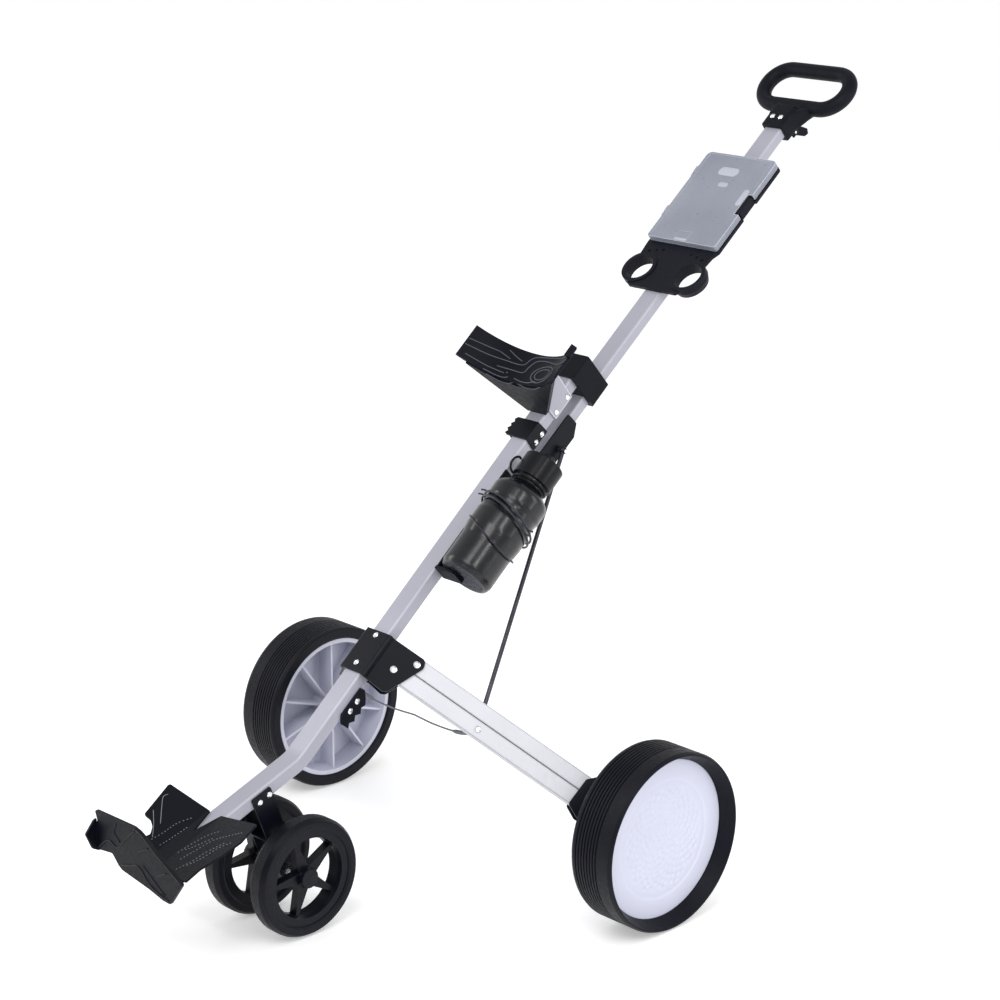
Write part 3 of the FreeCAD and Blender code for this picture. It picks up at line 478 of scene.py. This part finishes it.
def cradle_lines():
    lines = [
        [(-101.5, 79), (-76, 83), (-54, 85)],
        [(-102, 69), (-70, 72.7), (-41, 76.3), (-12, 78.5), (-5, 89), (3, 95.5), (28, 97.5), (64, 94),
         (100, 88)],
        [(-46, 64), (-25, 66.3), (-3, 67.5), (1, 77.6), (8, 89), (26, 91.3), (61, 84), (100, 78)],
        [(-54, 85), (-35, 81)],
        [(-44, 93), (-30, 88), (-16, 84)],
        [(-94, 57), (-60, 57.5), (-30, 58)],
    ]
    parts = []
    for across, tall in ((23, 14), (16, 9)):
        ring = []
        for k in range(40):
            angle = 2 * math.pi * k / 40
            ring.append(on_cradle(38 + across * math.cos(angle), 68 + tall * math.sin(angle), 0.1))
        parts.append(swept(ring, 0.9, 6, True))
    for line in lines:
        path = smooth_path([on_cradle(t, z, 0.1) for t, z in line], 6)
        parts.append(swept(path, 0.75, 6))
    parts.append(bead(on_cradle(-26, 60), Vector((0.7, 0.7, 0)), Vector((0, 0, 1)),
                      (on_cradle(-26, 60, 1) - on_cradle(-26, 60)).normalized(), (0.0016, 0.0016, 0.001)))
    floor_lines = [
        [(6, -86), (18, -82), (32, -84), (50, -92)],
        [(5, -74), (18, -69), (34, -71), (52, -80)],
    ]
    for line in floor_lines:
        for side in (1, -1):
            path = smooth_path([at(TUBE, side * x, y, 46.9) for x, y in line], 6)
            parts.append(swept(path, 0.6, 6))
    return merged(parts)


# ------------------------------------------------------------------ foot rest mouldings


def on_wing(side, x, z, lift=0.0):
    """A point on a wing's upper face: x out along the wing, z up the tube."""
    lean = Matrix.Rotation(math.radians(-12.5 * side), 4, "Z")
    base = FOOT @ Matrix.Translation((side * 0.014, -0.0105, 0)) @ lean
    return at(base, side * x, -3 - lift, z)


def stitch_rows(side, rows, gap=4.2):
    """Rows of low oblong beads that look like stitches."""
    parts = []
    for row in rows:
        path = smooth_path([on_wing(side, x, z) for x, z in row], 24)
        normal = (on_wing(side, 20, 0, 1) - on_wing(side, 20, 0)).normalized()
        travelled = 0.0
        for a, b in zip(path, path[1:]):
            travelled += (b - a).length
            if travelled >= gap * MM:
                travelled = 0.0
                along = (b - a).normalized()
                parts.append(bead(b, along, along.cross(normal), normal, (0.0013, 0.0007, 0.0006)))
    return parts


def wing_details():
    near_rows = [
        [(8, -24.8), (21, -13), (34, 5.6)],
        [(22, -43.6), (30, -22), (40, 3), (57, 16), (74, 26)],
        [(46, -50), (58.6, -31.5), (67, -6), (80, 8)],
        [(3, -34), (9, -12), (18, 8), (30, 19)],
        [(36, -60), (48, -40), (54, -18), (66, 2)],
    ]
    far_rows = [
        [(21, -36), (17, -15), (15, 6), (6, 26)],
        [(5, -36), (2, -18.5), (0.5, -2), (-1, 11)],
    ]
    parts = stitch_rows(1, near_rows) + stitch_rows(-1, far_rows)
    for line in ([(22, -29), (38, -13), (57, 3)], [(31.6, -7), (50, 11), (64, 26), (62.4, 33)]):
        parts.append(swept(smooth_path([on_wing(-1, x, z, 0.1) for x, z in line], 6), 0.5, 6))
    return merged(parts)


def toe_ridges():
    lines = [
        [(-86, 10), (-60, 30), (-41, 25), (-20, 44), (1, 62)],
        [(-39, 58), (-45, 45), (-34.5, 34)],
        [(-36, 3), (-18, 8), (-3, 13), (7, 9.5), (23, -5), (46, -12), (60, -14)],
        [(11, 17.8), (23, 9.7), (52, -9)],
        [(5, 35), (15, 40), (25, 45)],
        [(39, 12.6), (49, 18), (59, 23)],
    ]
    parts = [swept(smooth_path([at(TOE, x, y, 4.0) for x, y in line], 5), 1.0, 8) for line in lines]
    rim = [(-1, 64), (14, 60), (42, 42.5), (75, 25), (88, 18.5)]
    parts.append(swept(smooth_path([at(TOE, x, y, 2.2) for x, y in rim], 6), 2.6, 10))
    return merged(parts)


# ------------------------------------------------------------------ scorecard lid pads


def rounded(x0, q0, x1, q1, radius, steps=5):
    """Outline of a rounded rectangle on the lid, in the mast's X and Z."""
    points = []
    for cx, cq, start in ((x1 - radius, q1 - radius, 0), (x0 + radius, q1 - radius, 90),
                          (x0 + radius, q0 + radius, 180), (x1 - radius, q0 + radius, 270)):
        for k in range(steps + 1):
            angle = math.radians(start + 90 * k / steps)
            points.append((cx + radius * math.cos(angle), cq + radius * math.sin(angle)))
    return points


def lid_pads():
    up_way = (at(MAST, 0, -1, 0) - at(MAST, 0, 0, 0)).normalized()
    face = -23.15
    parts = []
    pads = ((-22, 518, 15, 534, 7.5), (-6, 497, 12, 506, 4), (46, 468, 56.5, 500, 5),
            (-13.5, 391.6, 10, 396, 1.5))
    for box in pads:
        outline = [at(MAST, x, face, q) for x, q in rounded(*box)]
        parts.append(plate(outline, up_way, 0.00035))
    for line in ([(-13.4, 393), (-13, 408.5), (10.2, 409.5), (9, 393)],
                 [(-58, 396), (-58, 552), (-52, 555), (52, 555), (59, 551), (59, 504)]):
        parts.append(swept([at(MAST, x, face, q) for x, q in line], 0.35, 6))
    return merged(parts)


# ------------------------------------------------------------------ wheel discs


DISC_RIM_R, DISC_BACK = 107.2, 348.4
DIMPLE_FIELD_R, DIMPLE_R, DIMPLE_DEPTH = 70, 3.9, 1.25
WHEEL_Y, WHEEL_Z = -53.4, 120.65


def wheel_disc(side):
    """Cover with shallow golf-ball dimples in its middle, a groove and a plain outer ring."""
    profile = [(0, 352.2), (74, 350.4), (79, 349.9), (82, 350.9), (DISC_RIM_R, 350.6)]
    radii = [p[0] for p in profile]
    heights = [p[1] for p in profile]
    dimples = 190
    golden = math.pi * (3 - math.sqrt(5))
    reach = [DIMPLE_FIELD_R * math.sqrt((i + 0.5) / dimples) for i in range(dimples)]
    spots = np.array([(r * math.cos(i * golden), r * math.sin(i * golden)) for i, r in enumerate(reach)])
    around = 288
    steps = [*np.arange(1.5, 107.3, 1.15), DISC_RIM_R]
    verts = []

    def place(x, y, height):
        return Vector((side * height * MM, (WHEEL_Y + x) * MM, (WHEEL_Z + y) * MM))

    verts.append(place(0, 0, heights[0]))
    for r in steps:
        for k in range(around):
            angle = 2 * math.pi * k / around
            x, y = r * math.cos(angle), r * math.sin(angle)
            height = float(np.interp(r, radii, heights))
            near = float(np.min(np.hypot(spots[:, 0] - x, spots[:, 1] - y)))
            if near < DIMPLE_R:
                height -= DIMPLE_DEPTH * (1 - (near / DIMPLE_R) ** 2)
            verts.append(place(x, y, height))
    last = len(steps)
    for k in range(around):
        angle = 2 * math.pi * k / around
        verts.append(place(DISC_RIM_R * math.cos(angle), DISC_RIM_R * math.sin(angle), DISC_BACK))
    verts.append(place(0, 0, DISC_BACK))
    faces = [(0, 1 + k, 1 + (k + 1) % around) for k in range(around)]
    for i in range(last):
        for k in range(around):
            a, b = 1 + i * around, 1 + (i + 1) * around
            faces.append((a + k, b + k, b + (k + 1) % around, a + (k + 1) % around))
    base = 1 + last * around
    faces += [(base + k, len(verts) - 1, base + (k + 1) % around) for k in range(around)]
    return verts, faces


# ------------------------------------------------------------------ bottle and cage details

BOTTLE_X, BOTTLE_SEAT = 60.3, -215.2


def round_bottle(angle, radius, height):
    return at(TUBE, BOTTLE_X + radius * math.cos(math.radians(angle)), radius * math.sin(math.radians(angle)),
              BOTTLE_SEAT + height)


def neck_strap():
    """Collar under the cap with the loop that keeps the cap on the bottle."""
    collar = [round_bottle(a, 25.2, 157) for a in range(0, 360, 12)]
    loop = smooth_path([round_bottle(-128, 26, 158), round_bottle(-126, 33, 160), round_bottle(-124, 38, 167),
                        round_bottle(-124, 37.5, 176), round_bottle(-125, 33, 181),
                        round_bottle(-127, 29.6, 180)], 6)
    return merged([swept(collar, 1.7, 8, True), swept(loop, 1.7, 8)])


def cage_details():
    """Bent ends of the two hoops and the low strap round the bottle."""
    parts = []
    tilt = Matrix.Rotation(math.radians(-14), 4, Vector((1, -1, 0)))
    for lift in (-112, -119):
        hoop = TUBE @ Matrix.Translation((0.0618, 0, lift * MM)) @ tilt
        for angle, way in ((-128, -1), (4, 1)):
            a = math.radians(angle)
            start = at(hoop, 44.2 * math.cos(a), 44.2 * math.sin(a), 0)
            middle = at(hoop, 46.5 * math.cos(a), 46.5 * math.sin(a), 0.5)
            end = at(hoop, 51 * math.cos(a + 0.05 * way), 51 * math.sin(a + 0.05 * way), 2.5 * way)
            parts.append(swept(smooth_path([start, middle, end], 5), 1.2, 8))
    strap = []
    for k in range(96):
        angle = math.radians(360 * k / 96)
        height = 65.7 - 17.4 * math.cos(angle) + 3.1 * math.sin(angle)
        strap.append(round_bottle(math.degrees(angle), 41.4, height))
    parts.append(swept(strap, 1.05, 8, True))
    return merged(parts)


# ------------------------------------------------------------------ tie wire


TIE_MIDDLE = (0, 128, -372)


def tie_end(side):
    """Where the cord meets a leg."""
    return at(TUBE, side * 113, 122, -366)


def tie_half(side):
    """Half of the steel cord between the legs, with the moulded sleeve at its outer end."""
    line = smooth_path([at(TUBE, *TIE_MIDDLE), at(TUBE, side * 38, 128.5, -374),
                        at(TUBE, side * 76, 127.5, -373.5), at(TUBE, side * 100, 125.5, -371),
                        tie_end(side)], 12)
    reach = (line[-1] - line[0]).length
    sizes = []
    for point in line:
        share = (point - line[0]).length / reach
        sizes.append(1.2 + 1.8 * max(0.0, min(1.0, (share - 0.68) / 0.07)))
    return swept(line, sizes, 10)


# ------------------------------------------------------------------ handle


def handle_shell():
    """The loop and its yoke as one moulding: joined, remeshed and softened where they meet."""
    source = nodes["handle_loop"]
    mesh = source.data.copy()
    obj = bpy.data.objects.new("handle_shell", mesh)
    bpy.context.scene.collection.objects.link(obj)
    builder = bmesh.new()
    builder.from_mesh(mesh)
    for low, high in (((19, -17, 14, 652), (36, -6, 11, 681)), ((17, -16, 11, 660), (46, 0, 9, 686))):
        corners = []
        for x, y0, y1, q in (low, high):
            for side in (1, -1):
                corners.append(builder.verts.new(at(MAST, side * x, y0 + 1.9, q)))
                corners.append(builder.verts.new(at(MAST, side * x, y1 + 1.9, q)))
        bmesh.ops.convex_hull(builder, input=corners)
    builder.to_mesh(mesh)
    builder.free()
    remesh = obj.modifiers.new("remesh", "REMESH")
    remesh.mode = "VOXEL"
    remesh.voxel_size = 0.0014
    soften = obj.modifiers.new("soften", "SMOOTH")
    soften.factor = 0.5
    soften.iterations = 9
    evaluated = obj.evaluated_get(bpy.context.evaluated_depsgraph_get())
    final = bpy.data.meshes.new_from_object(evaluated)
    obj.modifiers.clear()
    obj.data = final
    final.materials.clear()
    final.materials.append(handle_grip)
    for face in final.polygons:
        face.use_smooth = True
    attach(obj, "mast")
    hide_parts("handle_loop")
    return obj


# ------------------------------------------------------------------ the pieces

# Grey copy of the black moulding: painted highlight on the crests of the raised cradle ribs.
rib_highlight_grey = moulded("rib_highlight_grey", (0.085, 0.085, 0.11, 1), 0.5, 700, 0.0001, 1.4)
# Grey copy of the black moulding: painted highlight on the crests of the stitch beads.
stitch_highlight_grey = moulded("stitch_highlight_grey", (0.22, 0.22, 0.26, 1), 0.5, 700, 0.0001, 1.2)
lid_pale = moulded("lid_pale", (0.40, 0.42, 0.48, 1), 0.4, 500, 0.0001, 1.1)
tie_steel = moulded("tie_steel", (0.20, 0.20, 0.23, 1), 0.4, 900, 0.0001, 1.3)

piece("cradle_mouldings", *cradle_lines(), rib_highlight_grey, "frame", "black_plastic")
piece("wing_stitches", *wing_details(), stitch_highlight_grey, "frame", "black_plastic")
piece("toe_ridges", *toe_ridges(), rim_black, "frame", "black_plastic")
piece("lid_pads", *lid_pads(), lid_pale, "lid_body", "lid_clear")
piece("neck_strap", *neck_strap(), BY_SLOT["cap_black"], "bottle_body", "cap_black")
piece("cage_details", *cage_details(), BY_SLOT["rod_steel"], "frame", "rod_steel")
disc_white = dimpled_white()
for which, side in SIDES:
    disc = piece(f"{which}_dimpled_disc", *wheel_disc(side), disc_white, f"{which}_wheel", "wheel_white")
    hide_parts(f"{which}_hub_cover")
    half = piece(f"tie_half_{which}", *tie_half(side), tie_steel, None, "rod_steel")
    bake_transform(half)
    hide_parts("tie_wire")
handle_shell()
